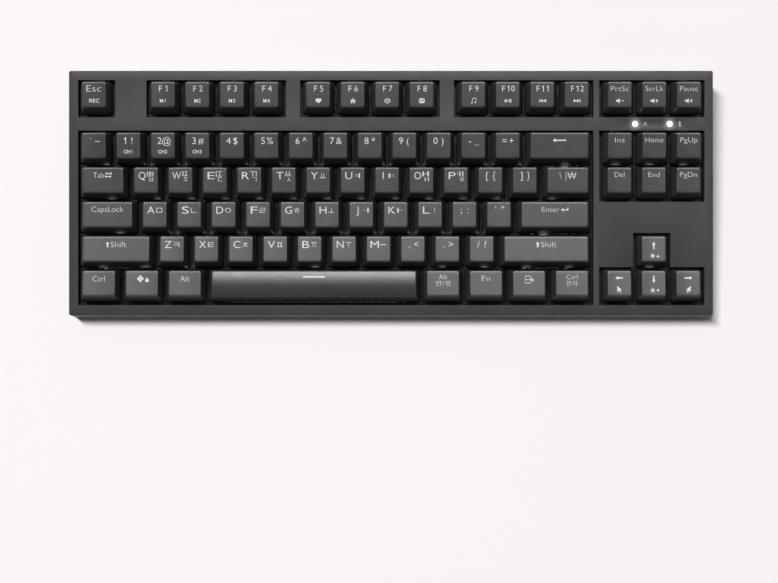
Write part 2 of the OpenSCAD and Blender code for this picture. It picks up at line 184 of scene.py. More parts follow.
KEYS = {}
for first, row, letters, hangul in LETTER_ROWS:
    for i, sign in enumerate(letters):
        KEYS["key_" + sign.lower()] = [(row, first + i, 1, letter(sign, *hangul[i]))]
KEYS["key_backspace"] = [(1, 13, 2, [("<arrow_left>", 2.2, 7.4, 0, 4.2)])]
KEYS["key_enter"] = [(3, 12.75, 2.25, [("Enter", 2.8, 9.6, -2.4, 4.1), ("<return>", 2.2, 4.2, 5.4, 4.2)])]
KEYS["key_left_shift"] = [(4, 0, 2.25, SHIFT)]
KEYS["key_right_shift"] = [(4, 12.25, 2.75, SHIFT)]
KEYS["key_space"] = [(5, 3.75, 6.25, [("<bar>", 0.55, 11.9, 0, 3.4)])]
KEYS["function_keys_left"] = [(0, 2 + i, 1, function(f"F{1 + i}", f"M{1 + i}")) for i in range(4)]
KEYS["function_keys_middle"] = [
    (0, 6.5 + i, 1, function(f"F{5 + i}", icon)) for i, icon in enumerate(ICONS_F5)
]
KEYS["function_keys_right"] = [
    (0, 11 + i, 1, function(f"F{9 + i}", *icon)) for i, icon in enumerate(ICONS_F9)
]
KEYS["number_keys"] = [
    (1, i, 1, pair(text, f"CH{i}" if i in (1, 2, 3) else None)) for i, text in enumerate(NUMBERS)
]
KEYS["punctuation_keys"] = [
    (2, 11.5, 1, pair("[{")), (2, 12.5, 1, pair("]}")), (2, 13.5, 1.5, word("\\ |₩", 9.3, 3.8, 4.5)),
    (3, 10.75, 1, pair(";:")), (3, 11.75, 1, pair("'\"")),
    (4, 9.25, 1, pair(",<")), (4, 10.25, 1, pair(".>")), (4, 11.25, 1, pair("/?")),
]
KEYS["modifier_keys"] = [
    (0, 0, 1, [("Esc", 3.6, 8.1, 0, 3.6), ("REC", 2.0, 5.6, 0.2, 10.3)]),
    (2, 0, 1.5, [("Tab", 3.0, 5.8, -2.4, 4.2), ("<tab>", 3.0, 3.6, 3.0, 4.2)]),
    (3, 0, 1.75, word("CapsLock", 17.6, 3.0, 4.0)),
    (5, 0, 1.25, word("Ctrl", 6.7, 3.2, 4.4)),
    (5, 1.25, 1.25, SYSTEM),
    (5, 2.5, 1.25, word("Alt", 5.2, 3.2, 4.4)),
    (5, 10, 1.25, word("Alt", 4.7, 2.7, 3.4) + word("한/영", 8.0, 2.9, 7.0)),
    (5, 11.25, 1.25, word("Fn", 4.6, 3.1, 4.2)),
    (5, 12.5, 1.25, MENU),
    (5, 13.75, 1.25, word("Ctrl", 6.0, 2.7, 3.4) + word("한자", 6.4, 2.9, 7.0)),
]
KEYS["navigation_keys"] = [
    (0, NAV_UNIT + i, 1, [(text, 2.8, width, 0, 3.7), (icon, 2.6, 4.2, 0, LOWER_Y)])
    for i, (text, width, icon) in enumerate(SYSTEM_NAV)
] + [
    (row, NAV_UNIT + i, 1, word(text, width, 2.8, 3.9))
    for row, words in ((1, UPPER_NAV), (2, LOWER_NAV)) for i, (text, width) in enumerate(words)
] + [
    (4, NAV_UNIT + 1, 1, [("<arrow_up>", 4.2, 1.9, 0, 5.0), SUN, ("<peak>", 1.5, 1.5, 2.2, 10.8)]),
    (5, NAV_UNIT, 1, [("<arrow_left_short>", 1.9, 4.2, -0.2, 4.0), ("<pointer>", 3.8, 2.7, 0, 10.2)]),
    (5, NAV_UNIT + 1, 1, [("<arrow_down>", 4.2, 1.9, 0, 4.8), SUN, ("<dot>", 1.2, 1.2, 2.2, 10.8)]),
    (5, NAV_UNIT + 2, 1,
     [("<arrow_right_short>", 1.9, 4.2, 0.2, 4.0), ("<pointer_right>", 3.8, 2.7, 0, 10.2)]),
]


def key_x(key):
    """X of a key's middle."""
    return FIELD_X0 + (key[1] + key[2] / 2) * UNIT


def stem_reach(key):
    """From a key's middle to its stabilizer stems, or 0 for a key without them."""
    return LONG_REACH if key[2] > 6 else SHORT_REACH if key[2] >= 2 else 0


# ---------------------------------------------------------------------------
# Materials

# Scales of the noise that varies tone and gloss, per metre, and the drawn streaks of metal
TONE_SCALE = 55
GLOSS_SCALE = 140
METAL_TONE_SCALE = 90
METAL_GLOSS_SCALE = 400
STREAK_SCALE = 900
STREAK_HEIGHT = 0.015 * MM
LIT_BASE_SCALE = 220
LIT_GLOW_SCALE = 300
LIT_ROUGHNESS = 0.35


class Shader:
    """A material's node tree, with short calls to build it. Noise is laid out in the object's own space."""

    def __init__(self, name):
        self.material = bpy.data.materials.new(name)
        self.material.use_nodes = True
        self.nodes = self.material.node_tree.nodes
        self.links = self.material.node_tree.links
        self.bsdf = next(n for n in self.nodes if n.type == "BSDF_PRINCIPLED")

    def add(self, kind, **values):
        """A new node with the given inputs and settings."""
        node = self.nodes.new(kind)
        for key, value in values.items():
            if key in node.inputs:
                node.inputs[key].default_value = value
            else:
                setattr(node, key, value)
        return node

    def link(self, out, into):
        self.links.new(out, into)

    def place(self):
        return self.add("ShaderNodeTexCoord").outputs["Object"]

    def noise(self, scale, detail=2.0, roughness=0.5):
        """Noise of a scale per metre."""
        node = self.add("ShaderNodeTexNoise", Scale=scale, Detail=detail, Roughness=roughness)
        self.link(self.place(), node.inputs["Vector"])
        return node.outputs["Fac"]

    def ramp(self, fac, low, high, start=0.3, end=0.7):
        """A blend of two colours, or of two greys given as numbers."""
        node = self.add("ShaderNodeValToRGB")
        for element, position, value in zip(node.color_ramp.elements, (start, end), (low, high)):
            element.position = position
            element.color = (*value, 1) if isinstance(value, tuple) else (value, value, value, 1)
        self.link(fac, node.inputs["Fac"])
        return node.outputs["Color"]

    def bump(self, fac, distance):
        node = self.add("ShaderNodeBump", Strength=1.0, Distance=distance)
        self.link(fac, node.inputs["Height"])
        self.link(node.outputs["Normal"], self.bsdf.inputs["Normal"])

    def set(self, **values):
        """Values of the shader's own sockets, with _ for a space."""
        for key, value in values.items():
            self.bsdf.inputs[key.replace("_", " ")].default_value = value


def plastic(name, low, high, rough_low, rough_high, grain_scale, grain_height, specular=0.5):
    """Moulded plastic: two close tones in patches, varied gloss and a fine spark-eroded grain."""
    s = Shader(name)
    s.link(s.ramp(s.noise(TONE_SCALE, 4), low, high), s.bsdf.inputs["Base Color"])
    s.link(s.ramp(s.noise(GLOSS_SCALE, 3), rough_low, rough_high), s.bsdf.inputs["Roughness"])
    s.bump(s.noise(grain_scale, 3, 0.6), grain_height)
    s.set(Specular_IOR_Level=specular)
    return s


def metal(name, low, high, rough_low, rough_high, streak=None):
    """Bare metal with cloudy tone, varied roughness, and drawn streaks along an axis where given."""
    s = Shader(name)
    s.set(Metallic=1.0)
    s.link(s.ramp(s.noise(METAL_TONE_SCALE, 4), low, high), s.bsdf.inputs["Base Color"])
    s.link(s.ramp(s.noise(METAL_GLOSS_SCALE, 3), rough_low, rough_high), s.bsdf.inputs["Roughness"])
    if streak:
        scale = s.add("ShaderNodeMapping")
        scale.inputs["Scale"].default_value = streak
        s.link(s.place(), scale.inputs["Vector"])
        lines = s.add("ShaderNodeTexNoise", Scale=STREAK_SCALE, Detail=2)
        s.link(scale.outputs["Vector"], lines.inputs["Vector"])
        s.bump(lines.outputs["Fac"], STREAK_HEIGHT)
    return s


def lit(name, color, strength, base):
    """Lit white plastic, in slightly darker and lighter patches."""
    s = Shader(name)
    dim_base = tuple(0.85 * c for c in base)
    dim_color = tuple(0.88 * c for c in color)
    s.link(s.ramp(s.noise(LIT_BASE_SCALE), dim_base, base), s.bsdf.inputs["Base Color"])
    s.set(Roughness=LIT_ROUGHNESS, Emission_Strength=strength)
    s.link(s.ramp(s.noise(LIT_GLOW_SCALE), dim_color, color), s.bsdf.inputs["Emission Color"])
    return s


# Slot: two tones, roughness from and to, grain scale, grain height in metres, specular where it isn't 0.5
PLASTICS = {
    "keycap": ((0.027, 0.027, 0.0275), (0.032, 0.032, 0.0325), 0.385, 0.445, 5200, 0.000012),
    "case_shell": ((0.03, 0.0305, 0.031), (0.036, 0.0365, 0.037), 0.48, 0.54, 3600, 0.00002, 0.19),
    "case_base": ((0.026, 0.026, 0.027), (0.033, 0.033, 0.034), 0.5, 0.6, 3000, 0.00003),
    "plate": ((0.010, 0.010, 0.011), (0.014, 0.014, 0.015), 0.45, 0.6, 2600, 0.00002),
    "board": ((0.008, 0.022, 0.012), (0.011, 0.03, 0.016), 0.3, 0.4, 900, 0.00001),
    "switch_base": ((0.012, 0.012, 0.013), (0.017, 0.017, 0.018), 0.4, 0.5, 3000, 0.00001),
    "switch_cover": ((0.045, 0.045, 0.047), (0.06, 0.06, 0.062), 0.2, 0.3, 1800, 0.000004),
    "stabilizer_plastic": ((0.015, 0.015, 0.016), (0.02, 0.02, 0.021), 0.4, 0.5, 2600, 0.00001),
    "stem": ((0.5, 0.47, 0.42), (0.56, 0.53, 0.47), 0.3, 0.4, 2600, 0.000006),
    "battery_wrap": ((0.03, 0.1, 0.28), (0.04, 0.13, 0.33), 0.2, 0.3, 300, 0.00004),
    "knob_plastic": ((0.014, 0.014, 0.015), (0.02, 0.02, 0.021), 0.4, 0.5, 2600, 0.00001),
    "flip_foot_plastic": ((0.026, 0.026, 0.027), (0.033, 0.033, 0.034), 0.45, 0.55, 3000, 0.00002),
    "foot_rubber": ((0.012, 0.012, 0.012), (0.02, 0.02, 0.02), 0.75, 0.9, 1500, 0.00004, 0.3),
}
# Slot: two tones, roughness from and to, and the streaks' scale where it has them
METALS = {
    "wire_steel": ((0.55, 0.55, 0.56), (0.68, 0.68, 0.69), 0.2, 0.32),
    "spring_steel": ((0.6, 0.57, 0.5), (0.72, 0.69, 0.6), 0.2, 0.3),
    "screw_steel": ((0.12, 0.12, 0.125), (0.2, 0.2, 0.205), 0.3, 0.45),
    "socket_metal": ((0.5, 0.5, 0.51), (0.64, 0.64, 0.65), 0.22, 0.34, (1, 0.03, 1)),
}
# Slot: light's colour, its strength and the plastic's own colour
LIT = {
    "key_light": ((1.0, 1.0, 1.0), 1.0, (0.9, 0.9, 0.9)),
    "light_guide": ((0.93, 0.97, 1.0), 2.2, (0.9, 0.9, 0.92)),
    "legend": ((0.95, 0.95, 0.94), 0.2, (0.5, 0.5, 0.49)),
    "mark": ((0.9, 0.93, 0.95), 0.08, (0.3, 0.3, 0.3)),
}
MATERIALS = {}
for make, table in ((plastic, PLASTICS), (metal, METALS), (lit, LIT)):
    for slot, values in table.items():
        MATERIALS[slot] = make(slot, *values)

# Painted light round the status lights: distance from a light where it is full and where it ends, how it falls
# off, its strength and colour
HALO_START = 1.3 * MM
HALO_END = 5.5 * MM
HALO_FALL = 2.6
HALO_STRENGTH = 0.3
HALO_COLOR = (0.82, 0.93, 1.0, 1)


def add_halo(shader):
    """Painted light: emission on the face around the status lights, which stands in for the light that spills from
    them.
    """
    place = shader.place()
    glows = []
    for x, y in LIGHTS:
        gap = shader.add("ShaderNodeVectorMath", operation="DISTANCE")
        gap.inputs[1].default_value = DECK @ Vector((x, y, 0))
        shader.link(place, gap.inputs[0])
        fall = shader.add("ShaderNodeMapRange", clamp=True)
        for value, socket in zip((HALO_END, HALO_START, 0.0, 1.0), range(1, 5)):
            fall.inputs[socket].default_value = value
        shader.link(gap.outputs["Value"], fall.inputs["Value"])
        curve = shader.add("ShaderNodeMath", operation="POWER")
        curve.inputs[1].default_value = HALO_FALL
        shader.link(fall.outputs["Result"], curve.inputs[0])
        glows.append(curve.outputs["Value"])
    both = shader.add("ShaderNodeMath", operation="ADD")
    for glow, socket in zip(glows, both.inputs):
        shader.link(glow, socket)
    scale = shader.add("ShaderNodeMath", operation="MULTIPLY")
    scale.inputs[1].default_value = HALO_STRENGTH
    shader.link(both.outputs["Value"], scale.inputs[0])
    shader.link(scale.outputs["Value"], shader.bsdf.inputs["Emission Strength"])
    shader.bsdf.inputs["Emission Color"].default_value = HALO_COLOR


# The case face gets painted light round the status lights
add_halo(MATERIALS["case_shell"])


def material(slot):
    """The Blender material of a slot."""
    return MATERIALS[slot].material


# ---------------------------------------------------------------------------
# Mesh helpers

CREASE = math.radians(35)
CAP_CREASE = math.radians(50)
LEGEND_CREASE = math.radians(30)

# Distance within which points are joined into one
WELD = 0.001 * MM


def new_object(name, mesh, slot, body):
    """A mesh object in the object's frame that rides on a body."""
    item = bpy.data.objects.new(name, mesh)
    bpy.context.scene.collection.objects.link(item)
    mesh.materials.append(material(slot))
    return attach(item, body)


def smooth_by_angle(bm, angle):
    """Smooth faces, with creases where the faces turn by more than the angle."""
    for face in bm.faces:
        face.smooth = True
    for edge in bm.edges:
        if len(edge.link_faces) == 2 and edge.calc_face_angle(0) > angle:
            edge.smooth = False


def mesh_of(bm, name, angle=CREASE):
    """A mesh from the work mesh, which is freed."""
    smooth_by_angle(bm, angle)
    mesh = bpy.data.meshes.new(name)
    bm.to_mesh(mesh)
    bm.free()
    return mesh


def span(points):
    """Low and high corner of some points."""
    return [Vector([end(p[k] for p in points) for k in range(3)]) for end in (min, max)]


def loft(bm, rings):
    """Faces between rings of equal length, with both ends closed."""
    rows = [[bm.verts.new(p) for p in ring] for ring in rings]
    count = len(rows[0])
    for low, high in zip(rows, rows[1:]):
        for i in range(count):
            j = (i + 1) % count
            bm.faces.new((low[i], low[j], high[j], high[i]))
    bm.faces.new(rows[0][::-1])
    bm.faces.new(rows[-1])


def add_box(bm, low, high, bevel, matrix=None):
    """A box with rounded edges, in the given frame."""
    size = Vector(high) - Vector(low)
    middle = (Vector(high) + Vector(low)) / 2
    fit = Matrix.Translation(middle) @ Matrix.Diagonal((*size, 1))
    verts = bmesh.ops.create_cube(bm, size=1.0, matrix=fit)["verts"]
    edges = list({e for v in verts for e in v.link_edges})
    made = bmesh.ops.bevel(bm, geom=edges, offset=bevel, segments=2, profile=0.5, affect="EDGES")
    verts = list({v for f in made["faces"] for v in f.verts} | {v for v in verts if v.is_valid})
    if matrix:
        bmesh.ops.transform(bm, matrix=matrix, verts=verts)


def add_rod(bm, start, end, radius, sides=20, bevel=0.0):
    """A round rod between two points, with rounded ends where a bevel is given."""
    start, end = Vector(start), Vector(end)
    along = (end - start).normalized()
    side = along.orthogonal().normalized()
    other = along.cross(side)
    steps = [(0, radius)]
    if bevel:
        arc = [math.pi / 2 * k / 3 for k in range(4)]
        steps = [(bevel * (1 - math.sin(a)), radius - bevel * (1 - math.cos(a))) for a in arc[::-1]]
    length = (end - start).length
    stations = steps + [(length - d, r) for d, r in steps[::-1]]
    rings = []
    for d, r in stations:
        turn = [2 * math.pi * k / sides for k in range(sides)]
        rings.append([start + along * d + (side * math.cos(t) + other * math.sin(t)) * r for t in turn])
    loft(bm, rings)


def add_tube(bm, place, outer, inner, low, high, sides=24):
    """An upright tube in the given frame, open at both ends."""
    turn = [2 * math.pi * k / sides for k in range(sides)]
    rows = []
    for r, z in ((inner, low), (outer, low), (outer, high), (inner, high)):
        rows.append([bm.verts.new(place @ Vector((r * math.cos(t), r * math.sin(t), z))) for t in turn])
    for a, b in zip(rows, rows[1:] + rows[:1]):
        for i in range(sides):
            j = (i + 1) % sides
            bm.faces.new((a[i], a[j], b[j], b[i]))


# ---------------------------------------------------------------------------
# Keycaps

# How finely a cap's rings are divided
ARC_STEPS = 5
Y_STEPS = 8
MIN_X_STEPS = 8
X_STEP = 1.6 * MM
FILLET_STEPS = 5
SKIRT_SHARES = (0.02, 0.35, 0.7)
TOP_SHARES = (0.12, 0.3, 0.5, 0.7, 0.88, 0.985)

TINY = 0.01 * MM
MIN_RADIUS = 0.2 * MM
ROOF_RADIUS = 0.6 * MM
ROOF_STEP = 3 * MM
FOOT_ROUND = 0.15 * MM


class CapShape:
    """The surface of one keycap in its own frame: the base's middle at the origin, +Z up."""

    def __init__(self, key):
        self.row = key[0]
        self.width = key[2] * UNIT - (UNIT - CAP_BASE)
        self.long = stem_reach(key) == LONG_REACH
        self.height = ROW_HEIGHT[self.row]
        self.slope = 0.0 if self.long else ROW_SLOPE[self.row]
        self.top_w = self.width - 2 * CAP_SIDE_INSET
        self.y_low = -CAP_BASE / 2 + CAP_FRONT_INSET
        self.y_high = CAP_BASE / 2 - CAP_BACK_INSET
        self.y_mid = (self.y_low + self.y_high) / 2
        self.scoop_r = (self.top_w ** 2 / 4 + SCOOP_DEPTH ** 2) / (2 * SCOOP_DEPTH)
        self.x_steps = max(MIN_X_STEPS, round(self.width / X_STEP))

    def place(self, key, z):
        """The frame of this key at a height above the deck."""
        return DECK @ Matrix.Translation((key_x(key), ROW_Y[self.row], z))

    def top(self, x, y):
        """Height of the cap's top at a point."""
        if self.long:
            return self.height - CROWN_RADIUS + math.sqrt(CROWN_RADIUS ** 2 - (y - self.y_mid) ** 2)
        lift = self.scoop_r - math.sqrt(self.scoop_r ** 2 - min(abs(x), self.top_w / 2) ** 2)
        return self.height + (y - self.y_mid) * math.tan(self.slope) - SCOOP_DEPTH + lift

    def roof(self, y):
        """Height of the hollow's ceiling."""
        return self.height - CAP_ROOF - SCOOP_DEPTH + (y - self.y_mid) * math.tan(self.slope)

    def outline(self, inset, radius):
        """A rounded rectangle inside the top's edge, as a closed ring from the front right corner."""
        half = self.top_w / 2 - inset
        low, high = self.y_low + inset, self.y_high - inset
        radius = max(min(radius, half - TINY, (high - low) / 2 - TINY), TINY)
        corners = [(half - radius, low + radius, -90), (half - radius, high - radius, 0),
                   (-half + radius, high - radius, 90), (-half + radius, low + radius, 180)]
        points = []
        for n, (cx, cy, start) in enumerate(corners):
            for k in range(ARC_STEPS + 1):
                a = math.radians(start + 90 * k / ARC_STEPS)
                points.append((cx + radius * math.cos(a), cy + radius * math.sin(a)))
            nx, ny, turn = corners[(n + 1) % 4]
            a = math.radians(turn)
            end = (nx + radius * math.cos(a), ny + radius * math.sin(a))
            last = points[-1]
            steps = Y_STEPS if n % 2 == 0 else self.x_steps
            for k in range(1, steps):
                f = k / steps
                points.append((last[0] + (end[0] - last[0]) * f, last[1] + (end[1] - last[1]) * f))
        return points

    def ring(self, inset, radius):
        """A ring on the cap's top."""
        return [Vector((x, y, self.top(x, y))) for x, y in self.outline(inset, radius)]

    def roof_ring(self, inset):
        """A ring on the hollow's ceiling."""
        return [Vector((x, y, self.roof(y))) for x, y in self.outline(inset, ROOF_RADIUS)]

    def base_ring(self, wall):
        """The base's outline moved in by the wall: the top's edge stretched to the base's rectangle."""
        half, depth = self.width / 2 - wall, CAP_BASE / 2 - wall
        radius = max(BASE_RADIUS - wall / 2, MIN_RADIUS)
        half_top = (self.y_high - self.y_low) / 2
        points = []
        for x, y in self.outline(0.0, TOP_RADIUS):
            u, v = x / (self.top_w / 2), (y - self.y_mid) / half_top
            points.append(Vector((*stretched(u, v, half, depth, radius), 0.0)))
        return points


def stretched(u, v, half, depth, radius):
    """A point of the top's edge, given as shares of its sides, on a larger rounded rectangle."""
    x, y = u * half, v * depth
    corner_x, corner_y = half - radius, depth - radius
    if abs(x) > corner_x and abs(y) > corner_y:
        dx, dy = abs(x) - corner_x, abs(y) - corner_y
        length = math.hypot(dx, dy)
        x = math.copysign(corner_x + dx / length * radius, x)
        y = math.copysign(corner_y + dy / length * radius, y)
    return x, y


def cap_rings(shape):
    """Rings of a whole cap: from the middle of its ceiling, down the inside and up the outside."""
    edge = shape.ring(0.0, TOP_RADIUS)
    base = shape.base_ring(0.0)
    skirt = [[b + (t - b) * f for b, t in zip(base, edge)] for f in SKIRT_SHARES]
    start = [t + (b - t).normalized() * FILLET for b, t in zip(base, edge)]
    rim = shape.ring(FILLET, TOP_RADIUS - 0.4 * FILLET)
    fillet = []
    for k in range(FILLET_STEPS + 1):
        f = k / FILLET_STEPS
        arc = zip(start, edge, rim)
        fillet.append([a * (1 - f) ** 2 + m * 2 * f * (1 - f) + c * f ** 2 for a, m, c in arc])
    half_depth = (shape.y_high - shape.y_low) / 2
    insets = [FILLET + (half_depth - FILLET) * f for f in TOP_SHARES]
    top = [shape.ring(i, TOP_RADIUS - 0.5 * i) for i in insets if shape.top_w / 2 - i > 2 * TINY]
    inside = [shape.roof_ring(CAP_WALL + ROOF_STEP), shape.roof_ring(CAP_WALL), shape.base_ring(CAP_WALL)]
    return inside + [shape.base_ring(FOOT_ROUND)] + skirt + fillet + top


# The raised bar on the two home keys
HOMING_HALF = 1.5 * MM
HOMING_INSET = 2.4 * MM
HOMING_R = 0.3 * MM
HOMING_ROUND = 0.25 * MM


def build_caps(body, keys):
    """All keycaps of one body."""
    bm = bmesh.new()
    for key in keys:
        shape = CapShape(key)
        place = shape.place(key, CAP_Z)
        loft(bm, [[place @ p for p in ring] for ring in cap_rings(shape)])
        if body in ("key_f", "key_j"):
            y = shape.y_low + HOMING_INSET
            ends = [place @ Vector((x, y, shape.top(0, y))) for x in (-HOMING_HALF, HOMING_HALF)]
            add_rod(bm, *ends, HOMING_R, 12, HOMING_ROUND)
    caps = new_object(body + "_caps", mesh_of(bm, body + "_caps", CAP_CREASE), "keycap", body)
    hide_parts(body)


SOFT_EDGE = 0.2 * MM
SOCKET_OUTER = 2.7 * MM
SOCKET_INNER = 2.2 * MM

# A switch stem, in mm above the plate: blocks (half width, half depth, top), a pin below and a cross above
STEM_LOW = 1.4
STEM_BLOCKS = ((3.5, 2.8, 6.4), (4.3, 2, 5.2))
PIN_ENDS = (0.4, 1.5)
PIN_R = 1 * MM
CROSS = ((2, 0.575), (0.575, 2))
CROSS_LOW = 6.2
CROSS_HIGH = 10.2
CROSS_EDGE = 0.12 * MM

# A stabilizer insert, in mm: a bridge on two legs
INSERT_HALF = 2.2
INSERT_FRONT = -3.9
INSERT_BACK = 5
BRIDGE_LOW = 5.3
BRIDGE_HIGH = 6.2
LEG_INNER = 1.2
LEG_LOW = -0.4
LEG_HIGH = 5.4


def add_block(bm, low, high, bevel, matrix):
    """A box with its corners in mm."""
    add_box(bm, [v * MM for v in low], [v * MM for v in high], bevel, matrix)


def build_stems(body, keys):
    """Sockets under the caps, switch stems and stabilizer inserts of one body."""
    bm = bmesh.new()
    for key in keys:
        shape = CapShape(key)
        place = shape.place(key, PLATE_Z)
        reach = stem_reach(key)
        for w, d, h in STEM_BLOCKS:
            add_block(bm, (-w, -d, STEM_LOW), (w, d, h), SOFT_EDGE, place)
        add_rod(bm, *(place @ Vector((0, 0, z * MM)) for z in PIN_ENDS), PIN_R, 16)
        for x in (0, -reach, reach) if reach else (0,):
            at = place @ Matrix.Translation((x, 0, 0))
            for w, d in CROSS:
                add_block(bm, (-w, -d, CROSS_LOW), (w, d, CROSS_HIGH), CROSS_EDGE, at)
            add_tube(bm, at, SOCKET_OUTER, SOCKET_INNER, CAP_RISE, CAP_RISE + shape.height - CAP_ROOF)
            if x:
                bridge_low = (-INSERT_HALF, INSERT_FRONT, BRIDGE_LOW)
                add_block(bm, bridge_low, (INSERT_HALF, INSERT_BACK, BRIDGE_HIGH), SOFT_EDGE, at)
                for x0, x1 in ((-INSERT_HALF, -LEG_INNER), (LEG_INNER, INSERT_HALF)):
                    add_block(bm, (x0, INSERT_FRONT, LEG_LOW), (x1, INSERT_BACK, LEG_HIGH), SOFT_EDGE, at)
    stems = new_object(body + "_stems", mesh_of(bm, body + "_stems"), "stem", body)


# ---------------------------------------------------------------------------
# Legends

LEGEND_RAISE = 0.03 * MM
LEGEND_DEPTH = 0.08 * MM


def box_outline(x0, y0, x1, y1):
    """A rectangle."""
    return [(x0, y0), (x1, y0), (x1, y1), (x0, y1)]


def arc_outline(cx, cy, outer, inner, start=0, end=360, steps=20):
    """A ring sector, or a disc where the inner radius is 0."""
    angles = [math.radians(start + (end - start) * k / steps) for k in range(steps + 1)]
    points = [(cx + outer * math.cos(a), cy + outer * math.sin(a)) for a in angles]
    if inner:
        points += [(cx + inner * math.cos(a), cy + inner * math.sin(a)) for a in reversed(angles)]
    return points


# Signs in a 1 x 1 square centred on the origin. Each is a list of closed outlines.
ARROW_UP = [[(0, 0.5), (0.5, 0.05), (0.2, 0.05), (0.2, -0.5), (-0.2, -0.5), (-0.2, 0.05), (-0.5, 0.05)]]
ARROW_LEFT_SHORT = [[(-0.5, 0), (-0.1, 0.5), (-0.1, 0.2), (0.5, 0.2), (0.5, -0.2), (-0.1, -0.2),
                     (-0.1, -0.5)]]
POINTER = [[(-0.5, 0.5), (0.5, -0.1), (0.12, -0.14), (0.34, -0.45), (0.12, -0.5), (-0.08, -0.2),
            (-0.42, -0.4)]]
SPEAKER = [[(-0.5, 0.17), (-0.3, 0.17), (0, 0.45), (0, -0.45), (-0.3, -0.17), (-0.5, -0.17)]]
SIGNS = {
    "arrow_up": ARROW_UP,
    "arrow_down": [[(x, -y) for x, y in ARROW_UP[0]][::-1]],
    "arrow_left": [[(-0.5, 0), (-0.3, 0.4), (-0.3, 0.12), (0.5, 0.12), (0.5, -0.12), (-0.3, -0.12),
                    (-0.3, -0.4)]],
    "arrow_left_short": ARROW_LEFT_SHORT,
    "arrow_right_short": [[(-x, -y) for x, y in ARROW_LEFT_SHORT[0]]],
    "return": [[(-0.5, -0.1), (-0.15, 0.35), (-0.15, 0.02), (0.36, 0.02), (0.36, 0.5), (0.5, 0.5),
                (0.5, -0.22), (-0.15, -0.22), (-0.15, -0.5)]],
    "bar": [box_outline(-0.5, -0.5, 0.5, 0.5)],
    "one": [[(-0.02, -0.5), (-0.02, 0.28), (-0.22, 0.18), (-0.22, 0.3), (0.02, 0.5), (0.1, 0.5),
             (0.1, -0.5)]],
    "tab": [
        [(-0.5, 0.28), (-0.15, 0.5), (-0.15, 0.34), (0.35, 0.34), (0.35, 0.5), (0.5, 0.5), (0.5, 0.06),
         (0.35, 0.06), (0.35, 0.2), (-0.15, 0.2), (-0.15, 0.06)],
        [(0.5, -0.28), (0.15, -0.06), (0.15, -0.22), (-0.35, -0.22), (-0.35, -0.06), (-0.5, -0.06),
         (-0.5, -0.5), (-0.35, -0.5), (-0.35, -0.36), (0.15, -0.36), (0.15, -0.5)],
    ],
    "pointer": POINTER,
    "pointer_right": [[(-x, y) for x, y in POINTER[0]][::-1]],
    "menu": [box_outline(-0.5, y - 0.035, 0.5, y + 0.035) for y in (-0.46, 0.0, 0.46)]
    + [box_outline(x - 0.03, y - 0.19, x + 0.03, y + 0.19) for x in (-0.47, 0.47) for y in (-0.23, 0.23)],
    "four_dots": [
        arc_outline(x, y, 0.2, 0, steps=16) for x, y in ((0, 0.28), (0.28, 0), (0, -0.28), (-0.28, 0))
    ],
    "padlock": [box_outline(-0.5, -0.5, 0.5, 0.08), arc_outline(0, 0.08, 0.36, 0.2, 0, 180, 12)],
    "peak": [[(-0.5, -0.4), (0.5, -0.4), (0, 0.5)]],
    "dot": [arc_outline(0, 0, 0.5, 0, steps=16)],
    "sun": [arc_outline(0, 0, 0.25, 0)] + [
        [(r * math.cos(math.pi / 4 * k + turn), r * math.sin(math.pi / 4 * k + turn))
         for r, turn in ((0.34, -0.22), (0.5, 0), (0.34, 0.22))] for k in range(8)
    ],
    "volume_down": SPEAKER + [box_outline(0.2, -0.07, 0.5, 0.07)],
    "volume_up": SPEAKER + [box_outline(0.15, -0.07, 0.5, 0.07), box_outline(0.27, 0.07, 0.38, 0.3),
                            box_outline(0.27, -0.3, 0.38, -0.07)],
    "mute": SPEAKER + [[(0.15, 0.18), (0.22, 0.27), (0.5, -0.16), (0.43, -0.25)],
                       [(0.43, 0.27), (0.5, 0.18), (0.22, -0.25), (0.15, -0.16)]],
    "globe": [[(-0.45, 0.4), (0, 0.5), (0.45, 0.4), (0.42, -0.1), (0, -0.5), (-0.42, -0.1)]],
    "home": [[(-0.5, 0.02), (0, 0.5), (0.5, 0.02), (0.4, -0.05), (0, 0.33), (-0.4, -0.05)],
             [(-0.34, -0.08), (0, 0.24), (0.34, -0.08), (0.34, -0.5), (0.1, -0.5), (0.1, -0.18),
              (-0.1, -0.18), (-0.1, -0.5), (-0.34, -0.5)]],
    "mug": [arc_outline(0, 0, 0.5, 0.36, 0, 360, 28), box_outline(-0.24, -0.07, 0.24, 0.07)],
    "letter": [[(-0.5, 0.42), (0.5, 0.42), (0, 0.02)],
               [(-0.5, 0.28), (-0.22, 0.04), (-0.5, -0.4)],
               [(0.5, 0.28), (0.5, -0.4), (0.22, 0.04)],
               [(-0.44, -0.46), (-0.14, -0.02), (0, -0.12), (0.14, -0.02), (0.44, -0.46)]],
    "note": [arc_outline(-0.32, -0.36, 0.14, 0, steps=14), arc_outline(0.34, -0.26, 0.14, 0, steps=14),
             box_outline(-0.25, -0.22, -0.18, 0.3), box_outline(0.42, -0.12, 0.49, 0.38),
             [(-0.25, 0.32), (0.49, 0.4), (0.49, 0.5), (-0.25, 0.42)]],
    "play": [[(-0.5, 0.5), (0, 0), (-0.5, -0.5)], box_outline(0.1, -0.5, 0.23, 0.5),
             box_outline(0.35, -0.5, 0.48, 0.5)],
    "previous": [box_outline(-0.5, -0.5, -0.4, 0.5), [(-0.38, 0), (0.03, 0.5), (0.03, -0.5)],
                 [(0.06, 0), (0.5, 0.5), (0.5, -0.5)]],
    "next": [[(-0.5, 0.5), (-0.06, 0), (-0.5, -0.5)], [(-0.03, 0.5), (0.38, 0), (-0.03, -0.5)],
             box_outline(0.4, -0.5, 0.5, 0.5)],
    "lock_mark": [[(0, -0.2), (0.5, 0.1), (0.18, 0.1), (0.18, 0.5), (-0.18, 0.5), (-0.18, 0.1), (-0.5, 0.1)],
                  box_outline(-0.5, -0.5, 0.5, -0.32)],
}


